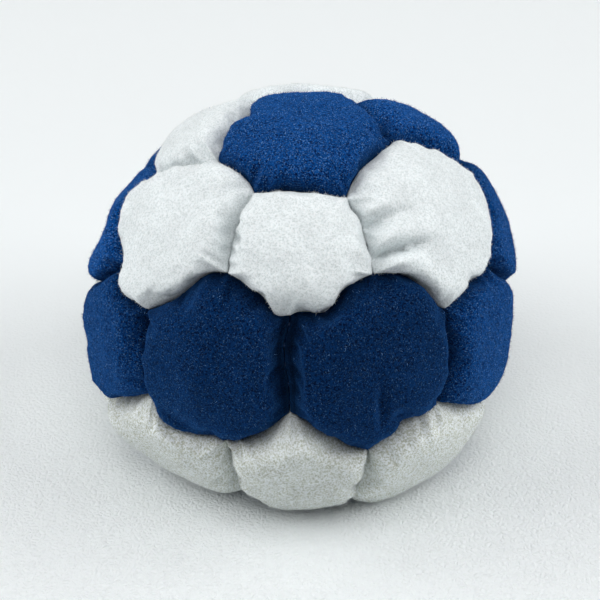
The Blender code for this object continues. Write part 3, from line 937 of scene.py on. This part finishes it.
def makeSand():
    # for each panel: the swell's grid, its side down to the channel, and the channel's
    # floor out to the seam's plane, where neighbouring panels share their points
    make = sandMake
    points, quads, count = [], [], 0
    for name, panel in plan.items():
        sides = len(panel["rays"])
        ringShare, around = gridLayout(sides, make["half"])
        rim = rimIndex(sides, make["half"])
        deep = make["channelDepth"] - make["depth"]
        rows = make["side"] + ((0.0, deep), (-make["wallInset"], deep))
        inset = np.concatenate([np.full(len(around), make["swellInset"])]
                               + [np.full(len(rim), row[0]) for row in rows]) + make["wallInset"]
        crown = panelMake["crown"] * (1.0 - ringShare ** 2)
        depth = np.concatenate([panelMake["crown"] - crown]
                               + [np.full(len(rim), row[1] + panelMake["crown"]) for row in rows])
        share = np.concatenate([1.0 - ringShare, np.zeros(len(rows) * len(rim))])
        everyAround = np.concatenate([around, np.tile(around[rim], len(rows))])
        shape = panelPoints(panel, everyAround, inset, depth + make["depth"], share,
                            np.zeros(len(inset)))
        shape = shape + unit(shape) * dentHeights(shape, name)[:, None]
        rings, faces = collared(gridFaces(sides, make["half"]), rim, len(around), len(rows))
        points.append(shape)
        quads.append(faces + count)
        count += len(shape)
    points, quads = np.concatenate(points), np.concatenate(quads)
    same, first, index = np.unique(np.round(points / make["weld"]), axis=0, return_index=True,
                                   return_inverse=True)
    points, quads = points[first], index.ravel()[quads]
    rough = lumps(points, make["grain"], seeds["sand"]) * make["rough"]
    points = settled(points + unit(points) * rough[:, None])
    points[:, 2] = np.maximum(points[:, 2], make["overFloor"] - bag["baseHeight"])
    piece = addMesh("sand_grains", points + middle, quads, np.empty((0, 3), int), makeSandLook())
    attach(piece, "root")
    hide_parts("sand_fill")


def makeSandLook():
    # dry river sand, washed and sieved: pale and dark grains side by side, no shine. Real
    # grains are 0.3 mm across, drawn at 0.5 mm to show
    material, tree, shader = startMaterial("river_sand_dry")
    place = addNode(tree, "ShaderNodeTexCoord").outputs["Object"]
    grains = addNode(tree, "ShaderNodeTexVoronoi", {"Vector": place,
                     "Scale": 1.0 / sandMake["grainShown"]})
    shade = addNode(tree, "ShaderNodeSeparateColor", {"Color": grains.outputs["Color"]})
    colour = addNode(tree, "ShaderNodeMix", {0: shade.outputs["Red"], 6: linear("A88A5C"),
                     7: linear("D9C7A2")}, data_type="RGBA")
    bump = addNode(tree, "ShaderNodeBump", {"Height": grains.outputs["Distance"],
                   "Strength": 0.6, "Distance": -0.15 * mm})
    feed(tree, shader, {"Base Color": colour.outputs[2], "Normal": bump.outputs[0],
                        "Roughness": 0.9})
    return material


makeSand()
print("sand made")

# The stitches that join the panels, one at each pucker, down in the seams
threadMake = {
    "depth": 3.4 * mm,        # of the top of a stitch under the crowns' surface
    "radius": 0.6 * mm,       # of a stitch's arc
    "thickness": 0.4 * mm,
    "steps": 6, "sides": 5,
    "twist": 0.5 * mm,
}


def makeThread():
    # each stitch is a tube along half a circle that crosses the seam's plane: rings of
    # points round the arc, closed by its two end faces
    make = threadMake
    centres, acrosses = [], []
    for name, panel in plan.items():
        for number, plane in enumerate(panel["planes"]):
            if name < neighbour(name, number):
                ends = panel["rays"][number], panel["rays"][(number + 1) % len(panel["rays"])]
                length = np.linalg.norm(ends[0] - ends[1]) * bag["sideRadius"]
                count = int(np.round(length / skinLook["stitchPitch"]))
                run = ((np.arange(count) + 0.5) / count)[:, None]
                rays = unit(ends[0] * (1.0 - run) + ends[1] * run)
                centres.append(rays * reach(rays, make["depth"])[:, None])
                acrosses.append(np.repeat(plane[None], count, axis=0))
    centres, acrosses = np.concatenate(centres), np.concatenate(acrosses)
    upward = unit(centres)
    alongs = np.cross(acrosses, upward)
    turns = np.linspace(0.0, math.pi, make["steps"] + 1)
    spins = 2.0 * math.pi * np.arange(make["sides"]) / make["sides"]
    rings = []
    for turn in turns:
        outward = acrosses * math.cos(turn) + upward * math.sin(turn)
        spot = centres + outward * make["radius"] - upward * make["radius"]
        for spin in spins:
            rings.append(spot + (outward * math.cos(spin) + alongs * math.sin(spin))
                         * make["thickness"] / 2.0)
    points = settled(np.stack(rings, axis=1).reshape(-1, 3)) + middle
    points[:, 2] = np.maximum(points[:, 2], 0.0)
    size = len(turns) * make["sides"]
    starts = (np.arange(len(centres)) * size)[:, None, None]
    step, side = np.meshgrid(np.arange(make["steps"]), np.arange(make["sides"]), indexing="ij")
    here, beside = step * make["sides"] + side, step * make["sides"] + (side + 1) % make["sides"]
    quad = np.stack([here, beside, beside + make["sides"], here + make["sides"]],
                    axis=-1).reshape(1, -1, 4)
    quads = (quad + starts).reshape(-1, 4)
    cap = np.array([[0, k + 1, k] for k in range(1, make["sides"] - 1)])
    caps = np.concatenate([cap, (size - make["sides"] + cap)[:, ::-1]])[None]
    triangles = (caps + starts).reshape(-1, 3)
    piece = addMesh("seam_thread", points, quads, triangles, makeThreadLook())
    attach(piece, "root")
    print("thread:", len(centres), "stitches")


def makeThreadLook():
    # bonded polyester sewing thread, plied from three strands: a slight shine and the
    # twist's slanting ridges. Its strands are 0.15 mm, drawn at 0.5 mm to show
    material, tree, shader = startMaterial("bonded_polyester_thread")
    place = addNode(tree, "ShaderNodeTexCoord").outputs["Object"]
    twist = addNode(tree, "ShaderNodeTexWave", {"Vector": place,
                    "Scale": 1.0 / threadMake["twist"], "Distortion": 1.0},
                    bands_direction="DIAGONAL")
    colour = addNode(tree, "ShaderNodeMix", {0: twist.outputs["Fac"], 6: linear("0A1E3C"),
                     7: linear("1C3F73")}, data_type="RGBA")
    bump = addNode(tree, "ShaderNodeBump", {"Height": twist.outputs["Fac"], "Strength": 0.5,
                   "Distance": 0.05 * mm})
    feed(tree, shader, {"Base Color": colour.outputs[2], "Normal": bump.outputs[0],
                        "Roughness": 0.5})
    return material


makeThread()

# The nap that stands off the suede and makes its outline soft
napMake = {
    "fibres": 48000,          # of each colour
    "length": (0.18 * mm, 0.5 * mm),
    "halfWidth": 0.022 * mm,
    "rooted": 0.05 * mm,      # how deep in the suede a fibre starts
    "splay": 0.9,             # how far it leans over, against how far it stands
    "from": 0.25,             # height over the seam, against the rolled edge's
    "tips": 0.1,              # share of tips that catch the light on a panel without painted shade; fewer in painted shade
}
fibreTones = {
    # a fibre in painted shade, one of the nap, and one that catches the light
    "blue_suede": ("041C46", "0D4186", "7AA4DA"),
    "white_suede": ("DDE2E1", "F0F4F4", "FAFBFB"),
}


def makeFibre(slotName, tone, colour):
    # a bundle of leather fibres, matt, of one tone
    material, tree, shader = startMaterial(slotName + "_fibre_" + tone)
    feed(tree, shader, {"Base Color": linear(colour), "Roughness": 0.9,
                        "Specular IOR Level": 0.1})
    return material


def makeNap(slotName, number):
    # thin three-sided needles, each rooted on the skin at a random place of a face and
    # pointing along the normal plus a random lean
    make = napMake
    chance = np.random.default_rng(number)
    names = [name for name in plan if (name in whitePanels) == (slotName == "white_suede")]
    corners, normals, paintedShades = [], [], []
    for name in names:
        points, faces, seamward = skins[name]
        shown = faces[seamward[faces].min(axis=1) > make["from"]]
        corners.append(points[shown])
        normals.append(quadNormals(points - middle, faces)[shown])
        paintedShades.append(np.full(len(shown), paintedPanelShade.get(name, restPaintedShade[slotName])))
    corners, normals, paintedShades = (np.concatenate(rows) for rows in (corners, normals, paintedShades))
    areas = np.linalg.norm(np.cross(corners[:, 2] - corners[:, 0], corners[:, 3] - corners[:, 1]),
                           axis=1)
    count = make["fibres"]
    chosen = np.searchsorted(np.cumsum(areas), chance.random(count) * areas.sum())
    chosen = np.minimum(chosen, len(areas) - 1)
    u, v = chance.random((2, count, 1))
    weights = ((1.0 - u) * (1.0 - v), u * (1.0 - v), u * v, (1.0 - u) * v)
    roots = sum(weight * corners[chosen, k] for k, weight in enumerate(weights))
    upward = unit(sum(weight * normals[chosen, k] for k, weight in enumerate(weights)))
    lean = chance.normal(size=(count, 3)) * make["splay"]
    ways = unit(upward + lean - upward * np.sum(lean * upward, axis=1, keepdims=True))
    short, long = make["length"]
    lengths = short + (long - short) * chance.random((count, 1)) ** 2
    aside = unit(np.cross(ways, upward + 0.1 * np.roll(ways, 1, axis=1)))
    other = np.cross(ways, aside)
    base = roots - ways * make["rooted"]
    turns = 2.0 * math.pi * np.arange(3) / 3.0
    rim = [base + (aside * math.cos(turn) + other * math.sin(turn)) * make["halfWidth"]
           for turn in turns]
    points = np.stack(rim + [roots + ways * lengths], axis=1)
    points[..., 2] = np.maximum(points[..., 2], 0.0)
    first = np.arange(count)[:, None] * 4
    triangles = np.concatenate([first + np.array(three)
                                for three in ((0, 1, 3), (1, 2, 3), (2, 0, 3), (2, 1, 0))])
    piece = addMesh("nap_" + slotName, points.reshape(-1, 3), np.empty((0, 4), int), triangles,
                    None)
    for tone, colour in zip(("dark", "nap", "tip"), fibreTones[slotName]):
        piece.data.materials.append(makeFibre(slotName, tone, colour))
    # the more painted shade a panel has, the more of its fibres take the painted-shade tone and
    # the fewer catch the light
    lit = chance.random(count)
    tones = np.where(lit > 1.0 - make["tips"] * paintedShades[chosen], 2,
                     np.where(lit < paintedShades[chosen], 1, 0))
    piece.data.polygons.foreach_set("material_index", np.tile(tones, 4).astype(np.int32))
    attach(piece, "root")


for number, slotName in enumerate(suedeTones):
    makeNap(slotName, number + 1)
print("nap made:", napMake["fibres"] * 2, "fibres")

# The photo's view: 210 mm off, 35 degrees up, the bag a little over the picture's middle
view = {"distance": 210.0 * mm, "elevation": 35.0, "lens": 101.3,
        "sensor": 36.0, "nearest": 10.0 * mm, "aim": (-0.13 * mm, -0.63 * mm, -0.90 * mm)}


def makeCamera():
    # straight in front, looking at a point close to the bag's middle
    data = bpy.data.cameras.new("camera")
    data.lens = view["lens"]
    data.sensor_width = view["sensor"]
    data.clip_start = view["nearest"]
    camera = bpy.data.objects.new("camera", data)
    bpy.context.scene.collection.objects.link(camera)
    elevation = math.radians(view["elevation"])
    bagMiddle = Vector(middle)
    place = bagMiddle + view["distance"] * Vector((0.0, -math.cos(elevation), math.sin(elevation)))
    camera.location = place
    toward = bagMiddle + Vector(view["aim"]) - place
    camera.rotation_euler = toward.to_track_quat("-Z", "Y").to_euler()
    bpy.context.scene.camera = camera


# Two soft boxes overhead and one at each side leave the bag's front a little darker
lightMake = {
    # place, size and power
    "boxes": {"overhead_front": ((0.0, -0.25, 0.6), 0.5, 1.74),
              "overhead_back": ((0.0, 0.25, 0.6), 0.5, 0.76),
              "left": ((-1.1, 0.0, 0.7), 1.0, 10.6), "right": ((1.1, 0.0, 0.7), 1.0, 10.4)},
    "worldColour": "F2F6F8", "world": 0.02,
    "seenWorld": 0.9,          # what the camera sees past the floor
}


def makeLights():
    # square lamps, each turned towards the bag's foot, and a dim world
    for name, (place, size, power) in lightMake["boxes"].items():
        data = bpy.data.lights.new(name, "AREA")
        data.shape = "SQUARE"
        data.size = size
        data.energy = power
        lamp = bpy.data.objects.new(name, data)
        lamp.location = place
        lamp.rotation_euler = (-Vector(place)).to_track_quat("-Z", "Y").to_euler()
        bpy.context.scene.collection.objects.link(lamp)
    world = bpy.data.worlds.new("studio")
    world.use_nodes = True
    tree = world.node_tree
    seen = addNode(tree, "ShaderNodeLightPath").outputs["Is Camera Ray"]
    strength = addNode(tree, "ShaderNodeMapRange", {"Value": seen, "To Min": lightMake["world"],
                       "To Max": lightMake["seenWorld"]})
    feed(tree, tree.nodes["Background"], {"Color": linear(lightMake["worldColour"]),
                                          "Strength": strength.outputs["Result"]})
    bpy.context.scene.world = world


floorMake = {"half": 1.5, "colour": "F1F5F6", "grain": 0.65 * mm, "height": 0.1 * mm}


def makeFloor():
    # a sheet of white leatherette, pebbled by its press, worn smooth further back
    material, tree, shader = startMaterial("floor_leatherette")
    place = addNode(tree, "ShaderNodeTexCoord").outputs["Object"]
    bent = addNode(tree, "ShaderNodeTexNoise", {"Vector": place, "Scale": 1.5 / floorMake["grain"],
                   "Detail": 2.0})
    wander = addNode(tree, "ShaderNodeVectorMath", {0: bent.outputs["Color"],
                     "Scale": 0.5 * floorMake["grain"]}, operation="SCALE")
    moved = addNode(tree, "ShaderNodeVectorMath", {0: place, 1: wander.outputs[0]})
    cells = addNode(tree, "ShaderNodeTexVoronoi", {"Vector": moved.outputs[0],
                    "Scale": 1.0 / floorMake["grain"]}, feature="DISTANCE_TO_EDGE")
    pebbles = addNode(tree, "ShaderNodeMapRange", {"Value": cells.outputs["Distance"],
                      "From Max": 0.35})
    back = addNode(tree, "ShaderNodeSeparateXYZ", {0: place}).outputs["Y"]
    near = addNode(tree, "ShaderNodeMapRange", {"Value": back, "From Min": -0.03, "From Max": 0.03,
                   "To Min": 0.9, "To Max": 0.05})
    both = addNode(tree, "ShaderNodeMath", {0: pebbles.outputs["Result"], 1: bent.outputs["Fac"]},
                   operation="ADD")
    bump = addNode(tree, "ShaderNodeBump", {"Height": both.outputs[0],
                   "Strength": near.outputs["Result"], "Distance": floorMake["height"]})
    feed(tree, shader, {"Base Color": linear(floorMake["colour"]), "Normal": bump.outputs[0],
                        "Roughness": 0.6, "Specular IOR Level": 0.2})
    half = floorMake["half"]
    corners = np.array([[-half, -half, 0], [half, -half, 0], [half, half, 0], [-half, half, 0]])
    floor = addMesh("floor", corners, np.array([[0, 1, 2, 3]]), np.empty((0, 3), int), material)


makeCamera()
makeLights()
makeFloor()
bpy.context.scene.view_settings.view_transform = "Standard"
print("camera, light and floor set")
